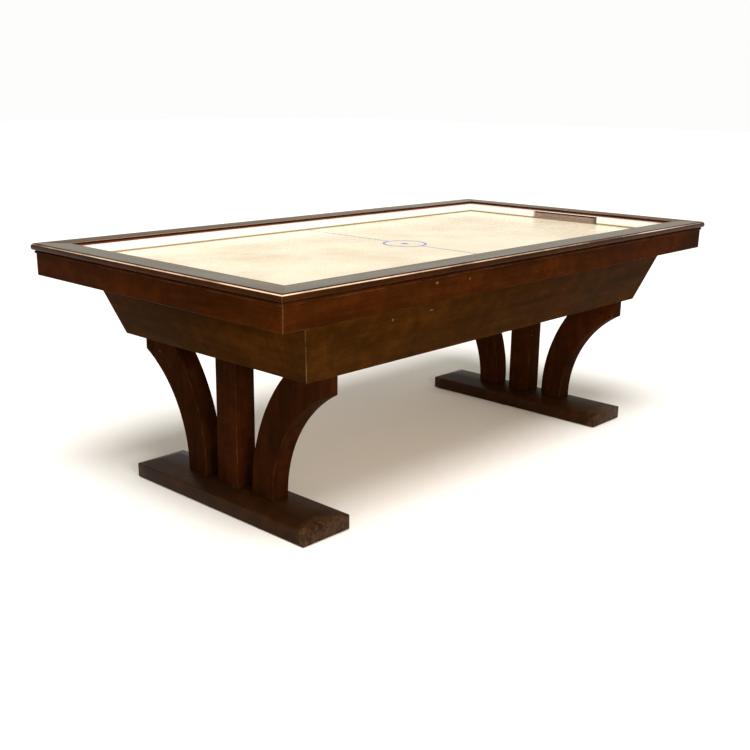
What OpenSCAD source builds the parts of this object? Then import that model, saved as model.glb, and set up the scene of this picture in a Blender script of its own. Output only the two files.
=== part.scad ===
/* [Overall] */
// Length over the cap rail
top_l = 2400; // [2300:10:2600]
// Width over the cap rail
top_w = 1270; // [1250:10:1450]
// Height of the cap rail above the floor
top_h = 860; // [830:5:880]

/* [Cap rail and fascia] */
// Width of each cap board
cap_w = 96; // [94:1:104]
// Thickness of the cap board at its rounded nose
cap_t = 24; // [23:1:28]
// How far the nose stands out past the fascia
nose = 13; // [11:1:16]
// Drop from the cap's top face to the fascia's bottom edge
fascia_drop = 110; // [106:1:112]
// Thickness of the fascia boards
fascia_t = 20; // [16:1:22]

/* [Rink] */
// Height of the white puck rails above the playing surface
rail_h = 36; // [30:1:40]
// Thickness of the puck rails
rail_t = 16; // [14:1:18]
// Width of each goal slot
goal_w = 340; // [280:10:400]
// Thickness of the playfield board
field_t = 12; // [9:1:12]
// Diameter of an air hole
air_d = 2; // [1.5:0.5:3]

/* [Cabinet] */
// Drop from the cap's top face to the cabinet's bottom edge
cabinet_drop = 324; // [310:2:330]
// Half length of the sloping cabinet at its top
cabinet_hx = 1028; // [1024:1:1045]
// Half width of the sloping cabinet at its top
cabinet_hy = 538; // [536:1:550]
// How far each cabinet side leans inwards from top to bottom
lean = 76; // [60:1:80]
// Thickness of the cabinet boards, measured level
board_t = 17; // [15:1:20]

/* [Pedestals] */
// Distance from the table's middle to each pedestal
pedestal_x = 845; // [760:5:860]
// Length of the foot plank, across the table
foot_l = 880; // [860:5:960]
// Depth of the foot plank, along the table
foot_d = 206; // [180:2:220]
// Height of the foot plank's upright edge
foot_edge = 50; // [46:1:52]
// Full height of the foot plank
foot_h = 68; // [66:1:76]
// Depth of the legs, along the table
leg_d = 72; // [70:1:86]
// Width of the centre post
post_w = 104; // [90:1:110]
// Depth of the centre post
post_d = 80; // [70:1:86]

/* [Hidden] */
$fn = 64;
e = 1;

stain = "#3a1f12";
maroon = "#5a1f1c";
cream = "#d8c9a6";
ply = "#b98f5c";
steel = "#a9adb0";
black = "#1c1c1e";

half_l = top_l / 2;
half_w = top_w / 2;

// Levels, from the top down
cap_z = top_h - cap_t;
lip_t = 8;
lip_z = top_h - lip_t;
trim_t = 4;
trim_z = lip_z - trim_t;
field_z = trim_z - rail_h;
plenum_h = 25;
panel_t = 6;
deck_t = 15;
board_z = field_z - field_t;
panel_z = board_z - plenum_h - panel_t;
deck_z = panel_z - deck_t;
fascia_z = top_h - fascia_drop;
cabinet_z = top_h - cabinet_drop;

// Insets from the cap's outer edge
lip_w = 20;
trim_proud = 2;
rail_back_u = cap_w - rail_t;
fascia_in_u = nose + fascia_t;
nose_top_r = 12;
nose_bottom_r = 8;
bead_r = 5;
groove = 4;
slot_bridge = 4;
seam = 0.5;

// Plenum and deck
plenum_hx = half_l - 150;
plenum_hy = half_w - 95;
frame_w = 20;
rib_y = 185;
outlet_r = 60;
deck_open_x = 890;
deck_open_y = 390;
goal_edge_u = 102;
goal_hole_in_u = 144;
goal_hole_out_u = 78;
wedge_h = 50;
wedge_u = 74;

// Goal tray
tray_in_u = 150;
tray_out_u = 73;
tray_z = deck_z - 28;
tray_t = 5;
lip_h = 12;

// Cabinet inside
floor_t = 12;
bolster_h = 40;
post_side = 36;
grille_r = 75;
intake_r = 60;

// Pedestal shape
glide_gap = 3;
leg_top_y = 450;
leg_block_h = 65;
leg_foot_out = 220;
leg_foot_in = 123;
leg_top_in = 306;
outer_r = 450;
inner_r = 620;
foot_top_z = glide_gap + foot_h;
foot_end_bevel = 60;
bolt_r = 4;
bolt_head_r = 7.5;
bolt_head_h = 6;
bolt_bite = 60;
top_bolt_y = [-420, -350, -25, 25, 350, 420];
foot_bolt_y = [-200, -150, -25, 25, 150, 200];
foot_bolt_z = 15;
foot_bolt_top = 130;
leveller_y = 370;
stud_r = 4;
stud_top = 50;
insert_r = 7;
insert_top = 35;
pad_r = 22;
pad_t = 6;
seat_z = 9;

// Blower
drum_r = 112;
drum_h = 94;
drum_z = panel_z - drum_h;
drum_wall = 3;
flange_r = 132;
flange_t = 6;
screw_ring_r = 122;
motor_r = 45;
motor_h = 84;
motor_top = drum_z - 25;
motor_z = motor_top - motor_h;
motor_flange_t = 4;
motor_flange_r = 75;
standoff_r = 5;
standoff_ring = 66;
shaft_r = 4;
shaft_z = motor_top - 40;
bearing_gap = 0.05;
wheel_r = 92;
wheel_eye = 50;
wheel_top = panel_z - 33;
wheel_h = 47;
blade_count = 14;

// Switch plate under the cabinet floor
switch_x = 600;
switch_y = -300;
rocker_x = 30;
rocker_tilt = 7;
rocker_pin_r = 1.5;
rocker_z = cabinet_z + 1;
inlet_x = -20;

// A board that runs round the table: the profile gives inset and height, and its
// ends are mitred at 45 degrees from the corners of a rectangle hx by hy
module mitred_run(hx, hy, depth) {
  intersection() {
    translate([-hx, -hy, 0]) rotate([90, 0, 90]) linear_extrude(2 * hx) children();
    linear_extrude(top_h + e)
      polygon([[-hx, -hy], [hx, -hy], [hx - depth, depth - hy], [depth - hx, depth - hy]]);
  }
}

module rim_side(depth) { mitred_run(half_l, half_w, depth) children(); }
module rim_end(depth) { rotate([0, 0, -90]) mitred_run(half_w, half_l, depth) children(); }
module opposite() { rotate([0, 0, 180]) children(); }

module cap_profile() {
  difference() {
    union() {
      translate([nose_top_r, cap_z]) square([cap_w - nose_top_r, cap_t]);
      translate([0, cap_z + nose_bottom_r])
        square([nose_top_r + e, cap_t - nose_top_r - nose_bottom_r]);
      translate([nose_bottom_r, cap_z]) square([nose_top_r, cap_t - nose_top_r]);
      translate([nose_top_r, top_h - nose_top_r]) circle(nose_top_r);
      translate([nose_bottom_r, cap_z + nose_bottom_r]) circle(nose_bottom_r);
    }
    translate([cap_w - lip_w, cap_z - e]) square([lip_w + e, cap_t - lip_t + e]);
  }
}

module trim_profile() {
  translate([cap_w - lip_w, trim_z]) square([lip_w + trim_proud, trim_t]);
}

module rail_profile() {
  difference() {
    translate([rail_back_u, field_z]) square([rail_t, rail_h]);
    translate([cap_w - groove, field_z - e]) square([groove + e, groove + e]);
  }
}

module fascia_profile() {
  edge_r = 3;
  translate([nose, fascia_z + edge_r]) square([fascia_t, cap_z - fascia_z - edge_r]);
  translate([nose + edge_r, fascia_z]) square([fascia_t - edge_r, edge_r + e]);
  translate([nose + edge_r, fascia_z + edge_r]) circle(edge_r);
  translate([nose, cap_z - bead_r - e]) circle(bead_r);
}

module apron_profile() {
  polygon([[0, deck_z], [board_t, deck_z], [board_t + lean, cabinet_z], [lean, cabinet_z]]);
}

module goal_slot() {
  translate([-half_l + rail_back_u - e, -goal_w / 2, field_z - e])
    cube([rail_t + 2 * e, goal_w, rail_h - slot_bridge + e]);
}

module cap_front() { color(stain) rim_side(cap_w) cap_profile(); }
module cap_back() { opposite() cap_front(); }
module cap_left() { color(stain) rim_end(cap_w) cap_profile(); }
module cap_right() { opposite() cap_left(); }

module trim_front() { color(maroon) rim_side(cap_w + trim_proud) trim_profile(); }
module trim_back() { opposite() trim_front(); }
module trim_left() { color(maroon) rim_end(cap_w + trim_proud) trim_profile(); }
module trim_right() { opposite() trim_left(); }

module rail_front() { color("white") rim_side(cap_w) rail_profile(); }
module rail_back() { opposite() rail_front(); }
module rail_left() {
  color("white") difference() {
    rim_end(cap_w) rail_profile();
    goal_slot();
  }
}
module rail_right() { opposite() rail_left(); }

module fascia_front() { color(stain) rim_side(fascia_in_u) fascia_profile(); }
module fascia_back() { opposite() fascia_front(); }
module fascia_left() { color(stain) rim_end(fascia_in_u) fascia_profile(); }
module fascia_right() { opposite() fascia_left(); }

module apron_front() {
  color(stain) mitred_run(cabinet_hx, cabinet_hy, board_t + lean) apron_profile();
}
module apron_back() { opposite() apron_front(); }
module apron_left() {
  color(stain) rotate([0, 0, -90])
    mitred_run(cabinet_hy, cabinet_hx, board_t + lean) apron_profile();
}
module apron_right() { opposite() apron_left(); }

// Battens between the puck rails and the fascia, with the goals left open
module rail_blocking() {
  side_l = 2 * (half_l - fascia_in_u);
  end_y = goal_w / 2 + 10;
  end_l = half_w - rail_back_u - end_y - seam;
  color(ply) for (s = [0, 180]) rotate([0, 0, s]) {
    translate([-side_l / 2, fascia_in_u - half_w, panel_z])
      cube([side_l, rail_back_u - fascia_in_u, cap_z - panel_z]);
    for (y = [-end_y - end_l, end_y])
      translate([fascia_in_u - half_l, y, panel_z])
        cube([rail_back_u - fascia_in_u, end_l, cap_z - panel_z]);
  }
}

module playfield() {
  hx = half_l - rail_back_u;
  hy = half_w - rail_back_u;
  columns = 16;
  rows = 8;
  pitch = 130;
  color(cream) difference() {
    translate([-hx, -hy, board_z]) cube([2 * hx, 2 * hy, field_t]);
    for (s = [0, 180]) rotate([0, 0, s])
      translate([-hx - e, -goal_w / 2 - 5, board_z - e])
        cube([goal_edge_u - rail_back_u + e, goal_w + 10, field_t + 2 * e]);
    for (i = [0:columns - 1], j = [0:rows - 1])
      translate([(i - (columns - 1) / 2) * pitch, (j - (rows - 1) / 2) * pitch, board_z - e])
        cylinder(d = air_d, h = field_t + 2 * e);
  }
}

// Centre line and face-off ring, as thin films on the playing surface
module markings() {
  film = 0.3;
  line_w = 7;
  ring_r = 85;
  ring_w = 9;
  reach = half_w - cap_w - 2;
  color("#2f4f8f") translate([0, 0, field_z]) {
    for (s = [0, 180]) rotate([0, 0, s])
      translate([-line_w / 2, ring_r + e, 0]) cube([line_w, reach - ring_r - e, film]);
    difference() {
      cylinder(r = ring_r, h = film, $fn = 96);
      translate([0, 0, -e]) cylinder(r = ring_r - ring_w, h = film + 2 * e, $fn = 96);
    }
    cylinder(r = 14, h = film);
  }
}

// Battens that part the playfield from the plenum panel, with two ribs that
// stop short of the ends so that air spreads under the whole board
module plenum_frame() {
  rib_w = 16;
  rib_end = 120;
  color(ply) translate([0, 0, panel_z + panel_t]) {
    for (s = [0, 180]) rotate([0, 0, s]) {
      translate([-plenum_hx, -plenum_hy, 0]) cube([2 * plenum_hx, frame_w, plenum_h]);
      translate([-plenum_hx, frame_w + seam - plenum_hy, 0])
        cube([frame_w, 2 * (plenum_hy - frame_w - seam), plenum_h]);
      translate([rib_end - plenum_hx, rib_y, 0])
        cube([2 * (plenum_hx - rib_end), rib_w, plenum_h]);
    }
  }
}

module plenum_panel() {
  color(ply) difference() {
    translate([-plenum_hx, -plenum_hy, panel_z]) cube([2 * plenum_hx, 2 * plenum_hy, panel_t]);
    translate([0, 0, panel_z - e]) cylinder(r = outlet_r, h = panel_t + 2 * e);
    for (a = [30:60:330]) rotate([0, 0, a])
      translate([screw_ring_r, 0, panel_z - e]) cylinder(r = 2, h = panel_t + 2 * e);
  }
}

module deck_sides() {
  hx = half_l - fascia_in_u;
  color(ply) for (s = [0, 180]) rotate([0, 0, s])
    translate([-hx, fascia_in_u - half_w, deck_z])
      cube([2 * hx, half_w - fascia_in_u - deck_open_y, deck_t]);
}

module deck_left() {
  hole_w = goal_w + 10;
  color(ply) difference() {
    translate([fascia_in_u - half_l, -deck_open_y, deck_z])
      cube([half_l - fascia_in_u - deck_open_x, 2 * deck_open_y, deck_t]);
    translate([goal_hole_out_u - half_l, -hole_w / 2, deck_z - e])
      cube([goal_hole_in_u - goal_hole_out_u, hole_w, deck_t + 2 * e]);
  }
}
module deck_right() { opposite() deck_left(); }

module corner_posts() {
  px = deck_open_x + 7;
  py = deck_open_y + 10;
  color(ply) for (sx = [0, 1], sy = [0, 1]) mirror([sx, 0, 0]) mirror([0, sy, 0])
    translate([px, py, cabinet_z + floor_t])
      cube([post_side, post_side, deck_z - cabinet_z - floor_t]);
}

module cabinet_floor() {
  hx = cabinet_hx - lean - board_t;
  hy = cabinet_hy - lean - board_t;
  color(ply) difference() {
    translate([-hx, -hy, cabinet_z]) cube([2 * hx, 2 * hy, floor_t]);
    translate([0, 0, cabinet_z - e]) cylinder(r = intake_r, h = floor_t + 2 * e);
    for (s = [-1, 1], y = top_bolt_y)
      translate([s * pedestal_x, y, cabinet_z - e]) cylinder(r = bolt_r, h = floor_t + 2 * e);
    translate([switch_x - 42, switch_y - 18, cabinet_z - e]) cube([90, 36, floor_t + 2 * e]);
  }
}

// Wedge that turns a puck down through the hole in the deck
module goal_wedge_left() {
  color(ply) translate([-half_l, goal_w / 2, panel_z]) rotate([90, 0, 0])
    linear_extrude(goal_w)
      polygon([[fascia_in_u, 0], [wedge_u, 0], [fascia_in_u, wedge_h]]);
}
module goal_wedge_right() { opposite() goal_wedge_left(); }

// Tray that catches the puck under the deck, open over its low front lip
module goal_tray_left() {
  w = goal_w + 6;
  l = tray_in_u - tray_out_u;
  color(black) translate([tray_out_u - half_l, -w / 2, tray_z]) difference() {
    cube([l, w, deck_z - tray_z]);
    translate([tray_t, tray_t, tray_t])
      cube([l - 2 * tray_t, w - 2 * tray_t, deck_z - tray_z]);
    translate([-e, tray_t, lip_h]) cube([tray_t + 2 * e, w - 2 * tray_t, deck_z - tray_z]);
  }
}
module goal_tray_right() { opposite() goal_tray_left(); }

module bolster_left() {
  hy = cabinet_hy - lean - board_t - 5;
  z = cabinet_z + floor_t;
  color(ply) difference() {
    translate([-pedestal_x - leg_d / 2, -hy, z]) cube([leg_d, 2 * hy, bolster_h]);
    for (y = top_bolt_y)
      translate([-pedestal_x, y, z - e]) cylinder(r = bolt_r, h = bolster_h + 2 * e);
  }
}
module bolster_right() { opposite() bolster_left(); }

// Foot plank: upright edges and a shallow slope up to the top on all four sides
module foot(x) {
  flat = max(leg_d, post_d) / 2;
  d = foot_d / 2;
  l = foot_l / 2;
  color(stain) translate([x, 0, glide_gap]) difference() {
    intersection() {
      translate([0, l, 0]) rotate([90, 0, 0]) linear_extrude(foot_l)
        polygon([[-d, 0], [d, 0], [d, foot_edge], [flat, foot_h], [-flat, foot_h], [-d, foot_edge]]);
      translate([-d, 0, 0]) rotate([90, 0, 90]) linear_extrude(foot_d)
        polygon([[-l, 0], [l, 0], [l, foot_edge], [l - foot_end_bevel, foot_h],
                 [foot_end_bevel - l, foot_h], [-l, foot_edge]]);
    }
    for (y = [-leveller_y, leveller_y]) translate([0, y, -e]) {
      cylinder(r = pad_r + 2, h = seat_z - glide_gap + e);
      cylinder(r = insert_r, h = insert_top - glide_gap + e);
      cylinder(r = stud_r + 1, h = stud_top + e);
    }
    for (y = foot_bolt_y) translate([0, y, -e]) {
      cylinder(r = bolt_head_r + 2, h = foot_bolt_z - glide_gap + e);
      cylinder(r = bolt_r, h = foot_h + 2 * e);
    }
  }
}
module foot_left() { foot(-pedestal_x); }
module foot_right() { foot(pedestal_x); }

module top_bolt_holes(x) {
  for (y = top_bolt_y)
    translate([x, y, cabinet_z - bolt_bite]) cylinder(r = bolt_r, h = bolt_bite + e);
}
module foot_bolt_holes(x) {
  for (y = foot_bolt_y)
    translate([x, y, foot_top_z - e]) cylinder(r = bolt_r, h = foot_bolt_top - foot_top_z + e);
}

module centre_post(x) {
  color(stain) difference() {
    translate([x - post_d / 2, -post_w / 2, foot_top_z])
      cube([post_d, post_w, cabinet_z - foot_top_z]);
    top_bolt_holes(x);
    foot_bolt_holes(x);
  }
}
module post_left() { centre_post(-pedestal_x); }
module post_right() { centre_post(pedestal_x); }

// Centre of a circle of radius r through p and q, on the right of the way from p to q
function arc_centre(p, q, r) =
  let (v = q - p, l = norm(v), h = sqrt(r * r - l * l / 4))
  (p + q) / 2 + h * [v[1], -v[0]] / l;

// Curved leg on the +Y side: a block cut hollow outside and round inside
module curved_leg(x) {
  block_z = cabinet_z - leg_block_h;
  out_c = arc_centre([leg_foot_out, foot_top_z], [leg_top_y, block_z], outer_r);
  in_c = arc_centre([leg_foot_in, foot_top_z], [leg_top_in, cabinet_z], inner_r);
  color(stain) difference() {
    translate([x - leg_d / 2, 0, 0]) rotate([90, 0, 90]) linear_extrude(leg_d)
      difference() {
        intersection() {
          translate([0, foot_top_z]) square([leg_top_y, cabinet_z - foot_top_z]);
          translate(in_c) circle(inner_r, $fn = 360);
        }
        translate(out_c) circle(outer_r, $fn = 360);
      }
    top_bolt_holes(x);
    foot_bolt_holes(x);
  }
}
module leg_left_back() { curved_leg(-pedestal_x); }
module leg_right_back() { curved_leg(pedestal_x); }
module leg_left_front() { mirror([0, 1, 0]) leg_left_back(); }
module leg_right_front() { mirror([0, 1, 0]) leg_right_back(); }

module pedestal_bolts() {
  top_z = cabinet_z + floor_t + bolster_h;
  color(steel) for (s = [-1, 1]) {
    for (y = top_bolt_y) translate([s * pedestal_x, y, 0]) {
      translate([0, 0, cabinet_z - bolt_bite + e])
        cylinder(r = bolt_r, h = top_z - cabinet_z + bolt_bite - e);
      translate([0, 0, top_z]) cylinder(r = bolt_head_r, h = bolt_head_h, $fn = 6);
    }
    for (y = foot_bolt_y) translate([s * pedestal_x, y, 0]) {
      translate([0, 0, foot_bolt_z]) cylinder(r = bolt_r, h = foot_bolt_top - foot_bolt_z - e);
      translate([0, 0, foot_bolt_z - bolt_head_h])
        cylinder(r = bolt_head_r, h = bolt_head_h, $fn = 6);
    }
  }
}

module leveller_inserts() {
  color(steel) for (s = [-1, 1], y = [-leveller_y, leveller_y])
    translate([s * pedestal_x, y, seat_z]) difference() {
      cylinder(r = insert_r, h = insert_top - seat_z);
      translate([0, 0, -e]) cylinder(r = stud_r + bearing_gap, h = insert_top);
    }
}

module leveller(x, y) {
  color(black) translate([x, y, 0]) {
    cylinder(r = pad_r, h = pad_t);
    cylinder(r = 8, h = seat_z);
    cylinder(r = stud_r, h = stud_top);
  }
}
module leveller_left_front() { leveller(-pedestal_x, -leveller_y); }
module leveller_left_back() { leveller(-pedestal_x, leveller_y); }
module leveller_right_front() { leveller(pedestal_x, -leveller_y); }
module leveller_right_back() { leveller(pedestal_x, leveller_y); }

// Drum that hangs from the plenum panel, open at the top and round its eye
module blower_housing() {
  top = panel_z;
  color(steel) difference() {
    union() {
      translate([0, 0, drum_z]) cylinder(r = drum_r, h = top - drum_z);
      translate([0, 0, top - flange_t]) cylinder(r = flange_r, h = flange_t);
    }
    translate([0, 0, drum_z + drum_wall])
      cylinder(r = drum_r - drum_wall, h = top - flange_t - drum_z - drum_wall);
    translate([0, 0, drum_z - e]) cylinder(r = wheel_eye, h = drum_wall + 2 * e);
    translate([0, 0, top - flange_t - e]) cylinder(r = outlet_r, h = flange_t + 2 * e);
    for (a = [30:60:330]) rotate([0, 0, a])
      translate([screw_ring_r, 0, top - flange_t - e]) cylinder(r = 2, h = flange_t + 2 * e);
  }
}

module blower_motor() {
  color(black) difference() {
    union() {
      translate([0, 0, motor_z]) cylinder(r = motor_r, h = motor_top - motor_z);
      translate([0, 0, motor_top - motor_flange_t])
        cylinder(r = motor_flange_r, h = motor_flange_t);
      for (a = [0:120:240]) rotate([0, 0, a])
        translate([standoff_ring, 0, motor_top - motor_flange_t])
          cylinder(r = standoff_r, h = drum_z - motor_top + motor_flange_t);
    }
    translate([0, 0, shaft_z - e])
      cylinder(r = shaft_r + bearing_gap, h = motor_top - shaft_z + 2 * e);
  }
}

module motor_shaft() {
  color(steel) translate([0, 0, shaft_z]) cylinder(r = shaft_r, h = wheel_top - shaft_z);
}

module impeller() {
  blade_t = 2.5;
  plate_t = 3;
  hub_r = 16;
  sweep = 30;
  z = wheel_top - wheel_h;
  color(black) difference() {
    union() {
      translate([0, 0, wheel_top - plate_t]) cylinder(r = wheel_r, h = plate_t);
      translate([0, 0, z]) difference() {
        cylinder(r = wheel_r, h = plate_t);
        translate([0, 0, -e]) cylinder(r = wheel_eye, h = plate_t + 2 * e);
      }
      for (i = [0:blade_count - 1]) rotate([0, 0, i * 360 / blade_count])
        translate([wheel_eye + 6, 0, z]) rotate([0, 0, sweep])
          cube([32, blade_t, wheel_h - plate_t + e]);
      translate([0, 0, z]) cylinder(r = hub_r, h = wheel_h);
    }
    translate([0, 0, z - e]) cylinder(r = shaft_r, h = wheel_h + 2 * e);
  }
}

module blower_screws() {
  color(steel) for (a = [30:60:330]) rotate([0, 0, a]) translate([screw_ring_r, 0, 0]) {
    translate([0, 0, panel_z - flange_t]) cylinder(r = 2, h = flange_t + panel_t);
    translate([0, 0, panel_z - flange_t - 3]) cylinder(r = 4, h = 3);
  }
}

module intake_grille() {
  bar = 14;
  color(black) difference() {
    translate([0, 0, cabinet_z - 4]) cylinder(r = grille_r, h = 4);
    for (i = [-3:3])
      translate([-sqrt(55 * 55 - bar * bar * i * i), i * bar - 4, cabinet_z - 4 - e])
        cube([2 * sqrt(55 * 55 - bar * bar * i * i), 8, 4 + 2 * e]);
  }
}

// Plate with a box behind it for the rocker, and a window for the power inlet
module switch_plate() {
  plate_t = 4;
  color(black) translate([switch_x, switch_y, cabinet_z]) difference() {
    union() {
      translate([-55, -25, -plate_t]) cube([116, 50, plate_t]);
      translate([rocker_x - 15, -11, 0]) cube([30, 22, 16]);
    }
    translate([rocker_x - 11, -7.5, -plate_t - e]) cube([22, 15, plate_t + 12]);
    translate([rocker_x, 10, 1]) rotate([90, 0, 0])
      cylinder(r = rocker_pin_r + bearing_gap, h = 20);
    translate([inlet_x - 15, -12, -plate_t - e]) cube([30, 24, plate_t + 2 * e]);
  }
}

// Mains inlet: a socket that faces down, with three blades
module power_inlet() {
  color(black) translate([switch_x + inlet_x, switch_y, cabinet_z]) {
    difference() {
      translate([-15, -12, -4]) cube([30, 24, 34]);
      translate([-12, -8.5, -4 - e]) cube([24, 17, 18 + e]);
    }
    for (x = [-7, 0, 7]) translate([x - 1, x == 0 ? 0 : -4, 4]) cube([2, 4, 11]);
  }
}

module power_switch() {
  color("#7a1414") translate([switch_x + rocker_x, switch_y, rocker_z])
    rotate([0, rocker_tilt, 0]) {
      translate([0, 7, 0]) rotate([90, 0, 0]) linear_extrude(14)
        polygon([[-9.5, 3], [9.5, 3], [9.5, -8], [0, -6], [-9.5, -8]]);
      translate([0, 9.5, 0]) rotate([90, 0, 0]) cylinder(r = rocker_pin_r, h = 19);
    }
}

cap_front();
cap_back();
cap_left();
cap_right();
trim_front();
trim_back();
trim_left();
trim_right();
rail_front();
rail_back();
rail_left();
rail_right();
fascia_front();
fascia_back();
fascia_left();
fascia_right();
apron_front();
apron_back();
apron_left();
apron_right();
rail_blocking();
playfield();
markings();
plenum_frame();
plenum_panel();
deck_sides();
deck_left();
deck_right();
corner_posts();
cabinet_floor();
goal_wedge_left();
goal_wedge_right();
goal_tray_left();
goal_tray_right();
bolster_left();
bolster_right();
foot_left();
foot_right();
post_left();
post_right();
leg_left_front();
leg_left_back();
leg_right_front();
leg_right_back();
pedestal_bolts();
leveller_inserts();
leveller_left_front();
leveller_left_back();
leveller_right_front();
leveller_right_back();
blower_housing();
blower_motor();
motor_shaft();
impeller();
blower_screws();
intake_grille();
switch_plate();
power_inlet();
power_switch();
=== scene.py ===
"""Air hockey table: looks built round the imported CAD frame. Everything is in metres."""
import math

import bmesh
import bpy
from mathutils import Matrix, Vector


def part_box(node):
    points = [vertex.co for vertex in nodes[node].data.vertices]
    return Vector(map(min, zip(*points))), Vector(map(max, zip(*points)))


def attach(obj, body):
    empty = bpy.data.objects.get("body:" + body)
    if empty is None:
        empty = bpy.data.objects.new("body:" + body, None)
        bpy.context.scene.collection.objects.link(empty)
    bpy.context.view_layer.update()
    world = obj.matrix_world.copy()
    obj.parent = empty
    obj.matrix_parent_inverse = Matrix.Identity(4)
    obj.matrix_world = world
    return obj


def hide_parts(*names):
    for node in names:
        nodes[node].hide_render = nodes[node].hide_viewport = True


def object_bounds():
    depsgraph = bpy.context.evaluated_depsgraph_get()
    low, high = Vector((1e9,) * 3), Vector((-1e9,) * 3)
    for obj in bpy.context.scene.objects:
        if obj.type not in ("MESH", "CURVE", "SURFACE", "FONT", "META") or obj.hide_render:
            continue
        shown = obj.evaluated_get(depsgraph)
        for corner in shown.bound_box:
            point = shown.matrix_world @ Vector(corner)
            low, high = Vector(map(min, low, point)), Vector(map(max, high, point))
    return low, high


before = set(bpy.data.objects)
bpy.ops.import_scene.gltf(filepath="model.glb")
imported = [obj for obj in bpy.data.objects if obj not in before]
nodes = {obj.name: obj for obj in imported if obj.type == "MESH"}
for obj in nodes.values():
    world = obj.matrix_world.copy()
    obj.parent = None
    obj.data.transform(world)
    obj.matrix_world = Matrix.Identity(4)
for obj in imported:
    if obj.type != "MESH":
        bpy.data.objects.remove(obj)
cad_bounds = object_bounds()

MM = 0.001
BODY = "table"
SIDES = {"front": 0.0, "right": 90.0, "back": 180.0, "left": -90.0}
LONG_SIDES = ("front", "back")

# ---------------------------------------------------------------- sizes from the frame

high = Vector(cad_bounds[1])
cap_lo, cap_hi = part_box("cap_front")
fascia_lo, fascia_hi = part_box("fascia_front")
apron_lo, apron_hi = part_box("apron_front")

HALF_L = high.x
HALF_W = high.y
TOP = high.z
CAP_Z = cap_lo.z
CAP_W = cap_hi.y - cap_lo.y
FASCIA_Z = fascia_lo.z
FASCIA_IN = HALF_W + fascia_hi.y
CABINET_Z = apron_lo.z
CABINET_TOP = apron_hi.z
CABINET_HX = apron_hi.x
CABINET_HY = -apron_lo.y
FIELD_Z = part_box("playfield")[1].z
RINK_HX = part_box("rail_right")[0].x
RINK_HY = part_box("rail_back")[0].y
FOOT_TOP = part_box("foot_left")[1].z

# Shapes that the boxes don't give, as in the CAD source
NOSE = 13 * MM
NOSE_TOP_R = 12 * MM
NOSE_BOTTOM_R = 8 * MM
LIP_W = 20 * MM
LIP_T = 8 * MM
BEAD_R = 5 * MM
BOARD_T = 17 * MM
LEAN = 76 * MM
FOOT_EDGE = 50 * MM
FOOT_BEVEL = 60 * MM
LEG_FOOT_OUT = 220 * MM
LEG_FOOT_IN = 123 * MM
LEG_TOP_IN = 306 * MM
LEG_BLOCK = 65 * MM
OUTER_R = 450 * MM
INNER_R = 620 * MM
LEVELLER_SEAT = (24 * MM, 9 * MM)  # radius and depth
BOLT_SEAT = (9.5 * MM, 15 * MM)
BOLT_Y = (-200 * MM, -150 * MM, -25 * MM, 25 * MM, 150 * MM, 200 * MM)

# How far each board's arrises are eased
CAP_EASE = 0.5 * MM
FASCIA_EASE = 0.9 * MM
APRON_EASE = 1.2 * MM
LEG_EASE = 2.2 * MM
FOOT_EASE = 3.5 * MM
EASED_ANGLE = math.radians(28)
SHARP_ANGLE = math.radians(32)


# ---------------------------------------------------------------- node helpers

ORIGIN = (0.0, 0.0, 0.0)
EVEN = (1.0, 1.0, 1.0)


def rgb(r, g, b):
    return (r, g, b, 1.0)


def dimmed(colour, amount):
    return rgb(*(amount * c for c in colour))


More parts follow.
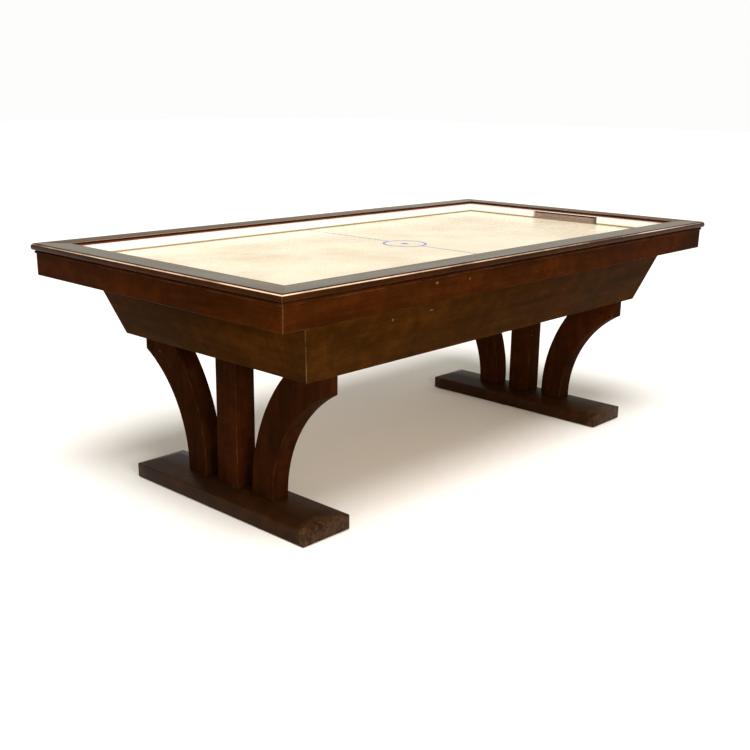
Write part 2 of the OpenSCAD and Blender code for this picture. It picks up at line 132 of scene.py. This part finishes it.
class Tree:
    """Short calls for building one material's node tree."""

    def __init__(self, name):
        self.mat = bpy.data.materials.new(name)
        self.mat.use_nodes = True
        self.tree = self.mat.node_tree
        self.shader = self.tree.nodes["Principled BSDF"]

    def node(self, kind, links=None, **settings):
        """Adds a node; links gives its inputs, by name or number."""
        n = self.tree.nodes.new(kind)
        for key, value in settings.items():
            setattr(n, key, value)
        for socket, value in (links or {}).items():
            self.put(n.inputs[socket], value)
        return n

    def put(self, socket, value):
        """Links an input to another node's output, or gives it a plain value."""
        if isinstance(value, bpy.types.NodeSocket):
            self.tree.links.new(value, socket)
        else:
            socket.default_value = value

    def set(self, **values):
        """Inputs of the shader, with _ for each space in a name."""
        for key, value in values.items():
            self.put(self.shader.inputs[key.replace("_", " ")], value)

    def point(self):
        return self.node("ShaderNodeTexCoord").outputs["Object"]

    def axes(self, vector):
        return self.node("ShaderNodeSeparateXYZ", {0: vector}).outputs

    def coords(self, scale, turn=ORIGIN, shift=ORIGIN):
        mapping = {"Vector": self.point(), "Scale": scale, "Rotation": turn, "Location": shift}
        return self.node("ShaderNodeMapping", mapping).outputs[0]

    def noise(self, vector, scale, detail=4.0, rough=0.55, distort=0.0):
        links = {
            "Vector": vector,
            "Scale": scale,
            "Detail": detail,
            "Roughness": rough,
            "Distortion": distort,
        }
        return self.node("ShaderNodeTexNoise", links).outputs["Fac"]

    def even_noise(self, scale, detail, rough=0.55, shift=ORIGIN):
        """Noise that is as long as it is wide."""
        return self.noise(self.coords(EVEN, shift=shift), scale, detail, rough)

    def span(self, value, a, b, c, d):
        """Takes a value's range from a to b onto the range from c to d."""
        links = {"Value": value, "From Min": a, "From Max": b, "To Min": c, "To Max": d}
        return self.node("ShaderNodeMapRange", links).outputs[0]

    def mix(self, factor, a, b):
        n = self.node("ShaderNodeMix", data_type="RGBA")
        self.put(n.inputs[0], factor)
        self.put(n.inputs[6], a)
        self.put(n.inputs[7], b)
        return n.outputs[2]

    def fade(self, value, a, b, most, base, other):
        """Base, going over to the other colour by up to most as the value goes from a to b."""
        return self.mix(self.span(value, a, b, 0.0, most), base, other)

    def math(self, operation, a, b=0.0):
        n = self.node("ShaderNodeMath", operation=operation)
        self.put(n.inputs[0], a)
        self.put(n.inputs[1], b)
        return n.outputs[0]

    def finish(self, colour, rough, relief, strength, depth):
        """Colour, roughness and bump, which every material of the table has."""
        bump = {"Height": relief, "Strength": strength, "Distance": depth}
        normal = self.node("ShaderNodeBump", bump).outputs[0]
        self.set(Base_Color=colour, Roughness=rough, Normal=normal)
        return self.mat


# ---------------------------------------------------------------- stained wood

GRAIN_SCALE = {"x": (0.55, 9.0, 9.0), "y": (9.0, 0.55, 9.0), "z": (9.0, 9.0, 0.55)}
PORE_SCALE = 5.0

# Colour of the arrises: partly bare wood, partly painted highlight
BARE_EDGE_AND_HIGHLIGHT = rgb(0.34, 0.20, 0.11)
BARE_NICK = rgb(0.30, 0.20, 0.13)
# Colour of the painted sunlight on the ends of the foot planks
SUNLIT_END_PAINT = rgb(0.15, 0.085, 0.045)
# Colour of the painted highlight line on the cap's nose
NOSE_HIGHLIGHT_PAINT = rgb(0.78, 0.58, 0.42)
WARM_SHEEN = rgb(1.0, 0.55, 0.30)

# The arris amount is how much of an arris is worn bare and painted as highlight, and ends is the
# half length of a piece with painted sunlit ends
CAP_GLOSS = {"rough": 0.24, "spec": 0.50, "coat": 0.40, "coat_rough": 0.10, "wear_and_painted_light": 0.5}
# The nose material also carries the painted highlight line
NOSE_GLOSS = {"rough": 0.22, "spec": 0.03, "coat": 0.0, "coat_rough": 0.1, "wear_and_painted_light": 0.5,
              "painted_highlight": True}
SIDE_GLOSS = {"rough": 0.42, "spec": 0.003, "coat": 0.0, "coat_rough": 0.3, "wear_and_painted_light": 0.7}
FOOT_GLOSS = {"rough": 0.36, "spec": 0.06, "coat": 0.02, "coat_rough": 0.2, "wear_and_painted_light": 0.8,
              "ends": 0.425}

# The cap's top and nose are one board: the top's lighter tone is painted reflection, the nose's
# darker tone painted shade
CAP_TOP_LIT_TONE = (0.058, 0.0310, 0.0090)
NOSE_SHADED_TONE = (0.036, 0.0105, 0.0022)
FASCIA_TONE = (0.042, 0.0105, 0.0016)
APRON_TONE = (0.041, 0.0148, 0.0020)
LEG_TONE = (0.031, 0.0086, 0.0020)
FOOT_TONE = (0.027, 0.0105, 0.0036)

EDGE_RADIUS = 3 * MM
NOSE_HIGHLIGHT_RISE = 0.74  # upward part of the normal, where the painted highlight line sits on the nose
END_REACH = 35 * MM


def stained_wood(name, grain, tone, gloss, seed):
    """Dark stained, lacquered wood. grain is the axis it runs along, tone its colour."""
    t = Tree(name)
    along = GRAIN_SCALE[grain]
    shift = (seed * 1.7, seed * 0.9, seed * 2.3)
    streaks = t.noise(t.coords(along, shift=shift), 3.2, detail=7.0, rough=0.6, distort=0.35)
    pores_at = t.coords(tuple(PORE_SCALE * s for s in along), shift=shift)
    pores = t.noise(pores_at, 11.0, detail=3.0, rough=0.7)
    cloud = t.even_noise(3.4, 5.0, 0.6, shift)
    colour = stain(t, tone, streaks, pores, cloud, shift)
    colour = wear_and_painted_light(t, colour, gloss, shift)
    rough = t.span(cloud, 0.3, 0.75, gloss["rough"], gloss["rough"] + 0.14)
    t.set(Specular_IOR_Level=gloss["spec"], Specular_Tint=WARM_SHEEN)
    t.set(Coat_Weight=gloss["coat"], Coat_Roughness=gloss["coat_rough"])
    relief = t.math("ADD", t.math("MULTIPLY", streaks, 0.5), pores)
    return t.finish(colour, rough, relief, 0.10, 0.6 * MM)


def stain(t, tone, streaks, pores, cloud, shift):
    """Streaks along the grain, warm clouds, dark blotches and darker pores."""
    warm = rgb(tone[0] * 1.5, tone[1] * 1.25, tone[2] * 1.1)
    colour = t.fade(streaks, 0.36, 0.64, 1.0, dimmed(tone, 0.5), rgb(*tone))
    colour = t.fade(cloud, 0.45, 0.70, 0.8, colour, warm)
    blotch = t.even_noise(17.0, 7.0, 0.72, shift)
    colour = t.mix(t.span(blotch, 0.42, 0.60, 0.55, 0.0), colour, dimmed(tone, 0.45))
    return t.mix(t.span(pores, 0.32, 0.45, 0.6, 0.0), colour, dimmed(tone, 0.3))


def wear_and_painted_light(t, colour, gloss, shift):
    """Bare wood and painted highlight on the arrises, a few nicks, and the painted nose highlight
    and sunlit ends that gloss names.
    """
    colour = t.mix(edge_wear_and_highlight(t, shift, gloss["wear_and_painted_light"]), colour, BARE_EDGE_AND_HIGHLIGHT)
    nick = t.even_noise(42.0, 2.0, 0.4, shift)
    colour = t.fade(nick, 0.775, 0.80, 0.35, colour, BARE_NICK)
    if "painted_highlight" in gloss:
        colour = painted_nose_highlight(t, colour)
    if "ends" in gloss:
        colour = painted_sunlit_ends(t, colour, gloss["ends"])
    return colour


def edge_wear_and_highlight(t, shift, amount):
    """Mask that is high along arrises, broken up by noise: partly real wear, partly a painted
    highlight.
    """
    rounded = t.node("ShaderNodeBevel", {"Radius": EDGE_RADIUS}, samples=4).outputs[0]
    true = t.node("ShaderNodeNewGeometry").outputs["Normal"]
    match = t.node("ShaderNodeVectorMath", {0: rounded, 1: true}, operation="DOT_PRODUCT")
    edge = t.span(match.outputs["Value"], 0.985, 0.86, 0.0, 1.0)
    patches = t.even_noise(9.0, 6.0, 0.75, shift)
    return t.math("MULTIPLY", edge, t.span(patches, 0.44, 0.66, 0.0, amount))


def painted_nose_highlight(t, colour):
    """A thin pale line on the upper rounding of the nose: a painted highlight, broken up by noise.
    """
    rise = t.axes(t.node("ShaderNodeNewGeometry").outputs["Normal"])["Z"]
    off = t.math("ABSOLUTE", t.math("SUBTRACT", rise, NOSE_HIGHLIGHT_RISE))
    line = t.span(off, 0.06, 0.16, 1.0, 0.0)
    patchiness = t.even_noise(2.2, 7.0, 0.65, (4.0, 1.0, 0.0))
    mask = t.math("MULTIPLY", line, t.span(patchiness, 0.36, 0.56, 0.10, 0.85))
    # the pale painted highlight goes onto the nose
    return t.mix(mask, colour, NOSE_HIGHLIGHT_PAINT)


def painted_sunlit_ends(t, colour, half):
    """Paints both ends of a piece that lies along Y lighter, as painted sunlight with a ragged
    edge.
    """
    y = t.axes(t.point())["Y"]
    ends = t.span(t.math("ABSOLUTE", y), half - END_REACH, half, 0.0, 1.0)
    patch_edge_noise = t.even_noise(34.0, 9.0, 0.8)
    mask = t.math("MULTIPLY", ends, t.span(patch_edge_noise, 0.44, 0.66, 0.0, 0.38))
    # the lighter painted sunlight goes onto the ends
    return t.mix(mask, colour, SUNLIT_END_PAINT)


wood = {}
for tone_name, tone, gloss in (
    ("cap", CAP_TOP_LIT_TONE, CAP_GLOSS),
    ("nose", NOSE_SHADED_TONE, NOSE_GLOSS),
    ("fascia", FASCIA_TONE, SIDE_GLOSS),
    ("apron", APRON_TONE, SIDE_GLOSS),
    ("leg", LEG_TONE, SIDE_GLOSS),
    ("foot", FOOT_TONE, FOOT_GLOSS),
):
    for number, grain in enumerate("xyz"):
        key = f"{tone_name}_{grain}"
        wood[key] = stained_wood(f"stained_{key}", grain, tone, gloss, number + len(wood))


# ---------------------------------------------------------------- other materials


def raw_wood():
    t = Tree("raw_plywood")
    bands = t.noise(t.coords((0.8, 12.0, 12.0)), 4.0, detail=6.0, rough=0.6, distort=0.3)
    colour = t.fade(bands, 0.3, 0.7, 1.0, rgb(0.36, 0.22, 0.11), rgb(0.56, 0.40, 0.23))
    rough = t.span(bands, 0.3, 0.7, 0.62, 0.78)
    return t.finish(colour, rough, bands, 0.15, 0.8 * MM)


def reddish_lining():
    """Inside of the goals: thinly stained plywood, pinker than the show wood and paler than it is,
    as painted light in the dim goal slots.
    """
    t = Tree("goal_lining")
    bands = t.noise(t.coords((12.0, 0.8, 12.0)), 4.0, detail=5.0, rough=0.6)
    colour = t.fade(bands, 0.3, 0.7, 1.0, rgb(0.90, 0.62, 0.50), rgb(0.97, 0.78, 0.67))
    rough = t.span(bands, 0.3, 0.7, 0.48, 0.62)
    return t.finish(colour, rough, bands, 0.12, 0.6 * MM)


def maroon_strip():
    t = Tree("maroon_strip")
    streaks = t.noise(t.coords((3.0, 3.0, 40.0)), 5.0)
    colour = t.fade(streaks, 0.3, 0.7, 1.0, rgb(0.090, 0.009, 0.010), rgb(0.19, 0.022, 0.020))
    rough = t.span(streaks, 0.3, 0.7, 0.34, 0.46)
    return t.finish(colour, rough, streaks, 0.10, 0.4 * MM)


# Heights over the playfield between which the rail's painted reflection of the field and painted
# shade at its foot fade out
FIELD_REFLECTION_FADE = (6 * MM, 22 * MM)
BASE_SHADE_FADE = (5 * MM, 8 * MM)


def white_rail():
    """White laminate with a painted cream reflection of the playfield low down, and a painted
    shade line at the playfield.
    """
    t = Tree("white_rail")
    smudge = t.noise(t.coords((1.5, 1.5, 8.0)), 5.0, detail=5.0, rough=0.6)
    colour = t.fade(smudge, 0.45, 0.8, 1.0, rgb(0.96, 0.965, 0.97), rgb(0.92, 0.91, 0.89))
    height = t.axes(t.point())["Z"]
    reflection_low, reflection_high = (FIELD_Z + z for z in FIELD_REFLECTION_FADE)
    field_reflection = t.span(height, reflection_low, reflection_high, 0.45, 0.0)
    # painted reflection of the cream playfield
    colour = t.mix(field_reflection, colour, rgb(0.90, 0.82, 0.66))
    shade_low, shade_high = (FIELD_Z + z for z in BASE_SHADE_FADE)
    base_shade = t.span(height, shade_low, shade_high, 0.9, 0.0)
    # painted shade where the rail meets the playfield
    colour = t.mix(base_shade, colour, rgb(0.42, 0.35, 0.23))
    rough = t.span(smudge, 0.3, 0.7, 0.22, 0.36)
    return t.finish(colour, rough, smudge, 0.05, 0.4 * MM)


HOLE_PITCH = 0.026
HOLE_R = 0.0009
RIM_SHADE_INSET = (9 * MM, 3 * MM)  # inset from the rails, where the painted shade starts and is full


def rink_laminate():
    """Cream laminate with a fine grid of air holes painted dark as their shade, faint blotches,
    puck scuffs and painted shade along the rails.
    """
    t = Tree("rink_laminate")
    blotch = t.even_noise(4.5, 4.0, 0.5)
    colour = t.fade(blotch, 0.40, 0.66, 1.0, rgb(0.80, 0.72, 0.56), rgb(0.68, 0.57, 0.41))
    drift = t.even_noise(0.9, 2.0, shift=(7.0, 3.0, 0.0))
    colour = t.fade(drift, 0.35, 0.7, 0.55, colour, rgb(0.81, 0.735, 0.58))
    scuff_at = t.coords((1.2, 6.0, 1.0), turn=(0.0, 0.0, 0.5), shift=(2.0, 5.0, 0.0))
    scuffs = t.noise(scuff_at, 9.0, detail=6.0, rough=0.7)
    colour = t.fade(scuffs, 0.58, 0.74, 0.16, colour, rgb(0.60, 0.46, 0.30))
    # painted shade along the foot of the rails
    colour = t.mix(rim_shade(t), colour, rgb(0.44, 0.36, 0.24))
    hole = air_holes(t)
    # the holes are painted dark, as the shade inside them
    colour = t.mix(hole, colour, rgb(0.05, 0.04, 0.03))
    rough = t.span(scuffs, 0.4, 0.75, 0.20, 0.38)
    return t.finish(colour, rough, hole, 0.5, 0.5 * MM)


def rim_shade(t):
    """Mask that rises towards the rails all round the rink: painted shade at their foot."""
    at = t.axes(t.point())
    across = t.math("SUBTRACT", t.math("ABSOLUTE", at["Y"]), RINK_HY)
    along = t.math("SUBTRACT", t.math("ABSOLUTE", at["X"]), RINK_HX)
    start, full = RIM_SHADE_INSET
    return t.span(t.math("MAXIMUM", across, along), -start, -full, 0.0, 0.7)


def air_holes(t):
    """Mask of the holes, one in the middle of each cell of a square grid; they are painted dark as
    their shade.
    """
    cell = t.coords((1 / HOLE_PITCH, 1 / HOLE_PITCH, 0.0), shift=(0.5, 0.5, 0.0))
    grid = t.node("ShaderNodeVectorMath", {0: cell}, operation="FRACTION").outputs[0]
    centre = t.node("ShaderNodeVectorMath", {0: grid, 1: (0.5, 0.5, 0.0)}, operation="DISTANCE")
    ring = HOLE_R / HOLE_PITCH
    return t.span(centre.outputs["Value"], ring, ring * 1.4, 1.0, 0.0)


def blue_print():
    t = Tree("blue_print")
    patchiness = t.even_noise(60.0, 4.0, 0.7)
    colour = t.fade(patchiness, 0.55, 0.75, 0.7, rgb(0.11, 0.19, 0.48), rgb(0.48, 0.50, 0.56))
    rough = t.span(patchiness, 0.4, 0.7, 0.26, 0.42)
    return t.finish(colour, rough, patchiness, 0.05, 0.2 * MM)


def moulded(name, colour, rough, metal=0.0, spec=0.5):
    t = Tree(name)
    grain = t.even_noise(420.0, 2.0)
    t.set(Metallic=metal, Specular_IOR_Level=spec)
    shade = t.fade(grain, 0.3, 0.7, 1.0, rgb(*colour), dimmed(colour, 0.75))
    return t.finish(shade, t.span(grain, 0.3, 0.7, rough, rough + 0.1), grain, 0.12, 0.2 * MM)


PLAIN = raw_wood()
LINING = reddish_lining()
MAROON = maroon_strip()
WHITE = white_rail()
RINK = rink_laminate()
BLUE = blue_print()
BLACK = moulded("black_moulding", (0.020, 0.020, 0.022), 0.45)
SHADE = moulded("dark_moulding", (0.010, 0.006, 0.004), 0.7, spec=0.06)
RED = moulded("red_moulding", (0.40, 0.02, 0.02), 0.3)
STEEL = moulded("zinc_steel", (0.60, 0.61, 0.62), 0.32, metal=1.0)
GREY = moulded("grey_paint", (0.20, 0.21, 0.22), 0.42)


# ---------------------------------------------------------------- meshes


def arc(centre, radius, start, stop, steps):
    """Points on a circle, from one angle to another, in degrees."""
    points = []
    for i in range(steps + 1):
        a = math.radians(start + (stop - start) * i / steps)
        points.append((centre[0] + radius * math.cos(a), centre[1] + radius * math.sin(a)))
    return points


def arc_centre(p, q, r):
    """Centre of a circle of radius r through p and q, right of the way from p to q."""
    p, q = Vector(p), Vector(q)
    way = q - p
    reach = math.sqrt(r * r - way.length_squared / 4)
    return (p + q) / 2 + reach * Vector((way.y, -way.x)) / way.length


def arc_between(p, q, r, steps):
    """Points from p to q on the short way round that circle."""
    c = arc_centre(p, q, r)
    a = math.degrees(math.atan2(p[1] - c.y, p[0] - c.x))
    b = math.degrees(math.atan2(q[1] - c.y, q[0] - c.x))
    turn = (b - a + 180) % 360 - 180
    return arc(c, r, a, a + turn, steps)


def prism(outline, place_low, place_high):
    """Closed solid between two copies of an outline, each placed by a function."""
    bm = bmesh.new()
    lows = [bm.verts.new(place_low(p)) for p in outline]
    highs = [bm.verts.new(place_high(p)) for p in outline]
    count = len(outline)
    for i in range(count):
        j = (i + 1) % count
        bm.faces.new((lows[i], lows[j], highs[j], highs[i]))
    bm.faces.new(lows[::-1])
    bm.faces.new(highs)
    bmesh.ops.recalc_face_normals(bm, faces=bm.faces)
    return bm


def place(name, data):
    obj = bpy.data.objects.new(name, data)
    bpy.context.scene.collection.objects.link(obj)
    return obj


def bake_modifiers(obj):
    bpy.context.view_layer.update()
    evaluated = obj.evaluated_get(bpy.context.evaluated_depsgraph_get())
    mesh = bpy.data.meshes.new_from_object(evaluated)
    obj.modifiers.clear()
    obj.data = mesh


def ease_arrises(obj, width, segments):
    ease = obj.modifiers.new("eased_arrises", "BEVEL")
    ease.width = width
    ease.segments = segments
    ease.limit_method = "ANGLE"
    ease.angle_limit = EASED_ANGLE
    ease.use_clamp_overlap = True
    bake_modifiers(obj)


def finish_piece(name, bm, material, node, bevel, segments=3, turn=0.0):
    """Makes the object that stands for a CAD node, with its arrises eased by bevel."""
    mesh = bpy.data.meshes.new(name)
    bm.to_mesh(mesh)
    bm.free()
    mesh.transform(Matrix.Rotation(math.radians(turn), 4, "Z"))
    obj = place(name, mesh)
    mesh.materials.append(material)
    ease_arrises(obj, bevel, segments)
    for face in obj.data.polygons:
        face.use_smooth = True
    obj.data.set_sharp_from_angle(angle=SHARP_ANGLE)
    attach(obj, BODY)
    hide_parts(node)
    return obj


def paint_faces(obj, material, wanted):
    """Gives the faces that pass a test on their normal a second material."""
    obj.data.materials.append(material)
    for face in obj.data.polygons:
        if wanted(face.normal):
            face.material_index = 1


def mitred_board(outline, hx, hy):
    """A board along the -Y side of a rectangle hx by hy, with 45 degree mitres."""
    return prism(
        outline,
        lambda p: (-hx + p[0], -hy + p[0], p[1]),
        lambda p: (hx - p[0], -hy + p[0], p[1]),
    )


def board_for(side, outline, half_l, half_w):
    """A board for any side, still on the -Y side; the outline gives inset and height."""
    if side in LONG_SIDES:
        return mitred_board(outline, half_l, half_w)
    return mitred_board(outline, half_w, half_l)


# ---------------------------------------------------------------- cap, fascia and cabinet


def cap_outline():
    """Board with a full round nose, and a rebate under its inner lip."""
    top_c = (NOSE_TOP_R, TOP - NOSE_TOP_R)
    low_c = (NOSE_BOTTOM_R, CAP_Z + NOSE_BOTTOM_R)
    inner = CAP_W
    eased = 2 * MM
    points = arc(top_c, NOSE_TOP_R, 90, 180, 12)
    points += arc(low_c, NOSE_BOTTOM_R, 180, 270, 8)
    points += [(inner - LIP_W, CAP_Z), (inner - LIP_W, TOP - LIP_T), (inner, TOP - LIP_T)]
    points += arc((inner - eased, TOP - eased), eased, 0, 90, 4)
    return points


def fascia_outline():
    """Upright board with a half-round bead under the cap's nose."""
    eased = 3 * MM
    bead_z = CAP_Z - BEAD_R - MM
    points = [(FASCIA_IN, FASCIA_Z), (FASCIA_IN, CAP_Z), (NOSE, CAP_Z)]
    points += [(NOSE, bead_z + BEAD_R)]
    points += arc((NOSE, bead_z), BEAD_R, 95, 265, 12)
    points += arc((NOSE + eased, FASCIA_Z + eased), eased, 180, 270, 5)
    return points


def apron_outline():
    """Plain board that leans inwards going down."""
    return [
        (0.0, CABINET_TOP),
        (BOARD_T, CABINET_TOP),
        (BOARD_T + LEAN, CABINET_Z),
        (LEAN, CABINET_Z),
    ]


TOP_FACE = 0.985  # upward part of the normal of the cap's flat top
INNER_FACE = 0.95


def cap_board(side, run, angle):
    board = board_for(side, cap_outline(), HALF_L, HALF_W)
    cap = finish_piece(f"cap_board_{side}", board, wood[f"cap_{run}"], f"cap_{side}",
                       bevel=CAP_EASE, segments=2, turn=angle)
    # the nose and other non-top faces get the darker copy of the wood, as painted shade
    paint_faces(cap, wood[f"nose_{run}"], lambda normal: normal.z < TOP_FACE)


def fascia_board(side, run, angle):
    board = board_for(side, fascia_outline(), HALF_L, HALF_W)
    fascia = finish_piece(f"fascia_board_{side}", board, wood[f"fascia_{run}"],
                          f"fascia_{side}", bevel=FASCIA_EASE, segments=2,
                          turn=angle)
    inward = Matrix.Rotation(math.radians(angle), 3, "Z") @ Vector((0.0, 1.0, 0.0))
    # the inner faces get the pale lining too, as painted light in the goal slots
    paint_faces(fascia, LINING, lambda normal: normal.dot(inward) > INNER_FACE)


def apron_board(side, run, angle):
    board = board_for(side, apron_outline(), CABINET_HX, CABINET_HY)
    finish_piece(f"apron_board_{side}", board, wood[f"apron_{run}"], f"apron_{side}",
                 bevel=APRON_EASE, segments=2, turn=angle)


for side, angle in SIDES.items():
    run = "x" if side in LONG_SIDES else "y"
    cap_board(side, run, angle)
    fascia_board(side, run, angle)
    apron_board(side, run, angle)


# ---------------------------------------------------------------- pedestals


LEG_ARC_STEPS = 40


def leg_outline(outer_y):
    """Curved leg on the +Y side, as (y, z): a block at the top, hollow outside."""
    foot_out = (LEG_FOOT_OUT, FOOT_TOP)
    block = (outer_y, CABINET_Z - LEG_BLOCK)
    foot_in = (LEG_FOOT_IN, FOOT_TOP)
    top_in = (LEG_TOP_IN, CABINET_Z)
    points = arc_between(foot_out, block, OUTER_R, LEG_ARC_STEPS)
    points += [(outer_y, CABINET_Z)]
    points += arc_between(foot_in, top_in, INNER_R, LEG_ARC_STEPS)[::-1]
    return points


def curved_leg(node, mirror):
    lo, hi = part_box(node)
    reach = max(abs(lo.y), abs(hi.y))
    sign = -1.0 if mirror else 1.0
    bm = prism(
        leg_outline(reach),
        lambda p: (lo.x, sign * p[0], p[1]),
        lambda p: (hi.x, sign * p[0], p[1]),
    )
    finish_piece(f"{node}_shaped", bm, wood["leg_z"], node, bevel=LEG_EASE)


def centre_post(node):
    lo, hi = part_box(node)
    square = [(lo.x, lo.y), (hi.x, lo.y), (hi.x, hi.y), (lo.x, hi.y)]
    bm = prism(square, lambda p: (*p, lo.z), lambda p: (*p, hi.z))
    finish_piece(f"{node}_shaped", bm, wood["leg_z"], node, bevel=LEG_EASE)


def hipped(rings):
    """Closed solid through a stack of upright-sided rectangles, from the lowest up."""
    bm = bmesh.new()
    loops = []
    for x0, x1, y0, y1, z in rings:
        corners = ((x0, y0), (x1, y0), (x1, y1), (x0, y1))
        loops.append([bm.verts.new((x, y, z)) for x, y in corners])
    for a, b in zip(loops, loops[1:]):
        for i in range(4):
            j = (i + 1) % 4
            bm.faces.new((a[i], a[j], b[j], b[i]))
    bm.faces.new(loops[0][::-1])
    bm.faces.new(loops[-1])
    bmesh.ops.recalc_face_normals(bm, faces=bm.faces)
    return bm


def foot_plank(node):
    """Hipped plank: upright edges, then a shallow slope to a flat top."""
    lo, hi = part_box(node)
    post_lo, post_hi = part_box(node.replace("foot", "post"))
    rings = (
        (lo.x, hi.x, lo.y, hi.y, lo.z),
        (lo.x, hi.x, lo.y, hi.y, lo.z + FOOT_EDGE),
        (post_lo.x, post_hi.x, lo.y + FOOT_BEVEL, hi.y - FOOT_BEVEL, hi.z),
    )
    plank = finish_piece(f"{node}_shaped", hipped(rings), wood["foot_y"], node,
                         bevel=FOOT_EASE)
    sink_seats(plank, node)


CUTTER_BELOW = 10 * MM
CUTTER_SIDES = 48


def drill(bm, x, y, seat):
    """Adds a round cutter that reaches from under the plank up to the seat's top."""
    radius, top = seat
    depth = top + CUTTER_BELOW
    at = Matrix.Translation((x, y, top - depth / 2))
    bmesh.ops.create_cone(bm, cap_ends=True, segments=CUTTER_SIDES, radius1=radius, radius2=radius,
                          depth=depth, matrix=at)


def sink_seats(plank, node):
    """Sinks the seats of the leveller pads and bolt heads into the plank's underside."""
    side = node.replace("foot_", "")
    cutter_mesh = bpy.data.meshes.new("seat_cutter")
    bm = bmesh.new()
    for end in ("front", "back"):
        lo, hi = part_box(f"leveller_{side}_{end}")
        pad = (lo + hi) / 2
        drill(bm, pad.x, pad.y, LEVELLER_SEAT)
    for y in BOLT_Y:
        drill(bm, pad.x, y, BOLT_SEAT)
    bm.to_mesh(cutter_mesh)
    bm.free()
    cutter = place("seat_cutter", cutter_mesh)
    cut = plank.modifiers.new("underside_seats", "BOOLEAN")
    cut.object = cutter
    cut.operation = "DIFFERENCE"
    cut.solver = "EXACT"
    bake_modifiers(plank)
    plank.data.set_sharp_from_angle(angle=SHARP_ANGLE)
    bpy.data.objects.remove(cutter)


for side in ("left", "right"):
    foot_plank(f"foot_{side}")
    centre_post(f"post_{side}")
    for end in ("front", "back"):
        curved_leg(f"leg_{side}_{end}", end == "front")


# ---------------------------------------------------------------- CAD nodes that stay

KEPT = (
    (("trim_",), MAROON),
    (("rail_front", "rail_back", "rail_left", "rail_right"), WHITE),
    (("playfield",), RINK),
    (("markings",), BLUE),
    # pale lining: painted light in the goal slots
    (("goal_wedge", "rail_blocking"), LINING),
    (("plenum", "deck", "corner_posts", "cabinet_floor", "bolster"), PLAIN),
    (("goal_tray",), SHADE),
    (("impeller", "intake_grille", "switch_plate", "power_inlet"), BLACK),
    (("leveller_left", "leveller_right"), BLACK),
    (("power_switch",), RED),
    (("pedestal_bolts", "leveller_inserts", "motor_shaft", "blower_screws"), STEEL),
    (("blower_housing", "blower_motor"), GREY),
)

for prefixes, material in KEPT:
    for name, obj in nodes.items():
        if name.startswith(prefixes):
            obj.data.materials.clear()
            obj.data.materials.append(material)

# ---------------------------------------------------------------- floor, light and camera


FLOOR_HALF = 40.0


def floor_paint():
    t = Tree("floor_paint")
    t.set(Base_Color=rgb(0.82, 0.81, 0.80), Roughness=0.95, Specular_IOR_Level=0.1)
    return t.mat


def floor():
    mesh = bpy.data.meshes.new("floor")
    r = FLOOR_HALF
    mesh.from_pydata([(-r, -r, 0), (r, -r, 0), (r, r, 0), (-r, r, 0)], [], [(0, 1, 2, 3)])
    mesh.materials.append(floor_paint())
    obj = place("floor", mesh)


def aim_light(name, data, at, target):
    obj = place(name, data)
    obj.location = at
    way = Vector(target) - Vector(at)
    obj.rotation_euler = way.to_track_quat("-Z", "Y").to_euler()


def area_light(name, at, target, size, power, colour):
    data = bpy.data.lights.new(name, "AREA")
    data.shape = "RECTANGLE"
    data.size, data.size_y = size
    data.energy = power
    data.color = colour
    aim_light(name, data, at, target)


def soft_sun(name, at, strength, spread, colour):
    data = bpy.data.lights.new(name, "SUN")
    data.energy = strength
    data.angle = math.radians(spread)
    data.color = colour
    aim_light(name, data, at, ORIGIN)


def pale_world(seen_colour, lit_colour, lit_strength):
    """White to the camera, and a dimmer warm white as a light."""
    world = bpy.data.worlds.new("pale_studio")
    world.use_nodes = True
    tree = world.node_tree
    tree.nodes.clear()
    out = tree.nodes.new("ShaderNodeOutputWorld")
    blend = tree.nodes.new("ShaderNodeMixShader")
    path = tree.nodes.new("ShaderNodeLightPath")
    seen = tree.nodes.new("ShaderNodeBackground")
    seen.inputs[0].default_value = rgb(*seen_colour)
    lit = tree.nodes.new("ShaderNodeBackground")
    lit.inputs[0].default_value = rgb(*lit_colour)
    lit.inputs[1].default_value = lit_strength
    tree.links.new(path.outputs["Is Camera Ray"], blend.inputs[0])
    tree.links.new(lit.outputs[0], blend.inputs[1])
    tree.links.new(seen.outputs[0], blend.inputs[2])
    tree.links.new(blend.outputs[0], out.inputs[0])
    bpy.context.scene.world = world


def studio():
    soft_sun(
        "overhead",
        at=(-1.1, -1.4, 4.0),
        strength=3.3,
        spread=30,
        colour=(1.0, 0.985, 0.965),
    )
    area_light(
        "key",
        at=(-1.85, -2.75, 1.25),
        target=(-0.8, -0.6, 0.6),
        size=(0.8, 0.5),
        power=52,
        colour=(1.0, 0.89, 0.76),
    )
    pale_world(
        seen_colour=(0.985, 0.98, 0.975),
        lit_colour=(0.99, 0.95, 0.84),
        lit_strength=0.60,
    )


CAMERA_AT = (-2.944, -2.580, 1.362)
AZIMUTH, ELEVATION, ROLL = -47.21, 15.33, 0.79
FOCAL_RATIO = 1.3666  # focal length over the picture's width
SENSOR = 36.0


def camera():
    """Looks at the table from the given azimuth, elevation and roll, in degrees."""
    a, e, c = (math.radians(v) for v in (AZIMUTH, ELEVATION, ROLL))
    back = Vector((math.sin(a) * math.cos(e), -math.cos(a) * math.cos(e), math.sin(e)))
    right = Vector((math.cos(a), math.sin(a), 0.0))
    up = back.cross(right)
    right_rolled = math.cos(c) * right + math.sin(c) * up
    up_rolled = math.cos(c) * up - math.sin(c) * right
    data = bpy.data.cameras.new("camera")
    data.sensor_width = SENSOR
    data.lens = SENSOR * FOCAL_RATIO
    obj = place("camera", data)
    turn = Matrix((right_rolled, up_rolled, back)).transposed().to_4x4()
    obj.matrix_world = Matrix.Translation(CAMERA_AT) @ turn
    bpy.context.scene.camera = obj


floor()
studio()
camera()
bpy.context.scene.view_settings.view_transform = "Standard"
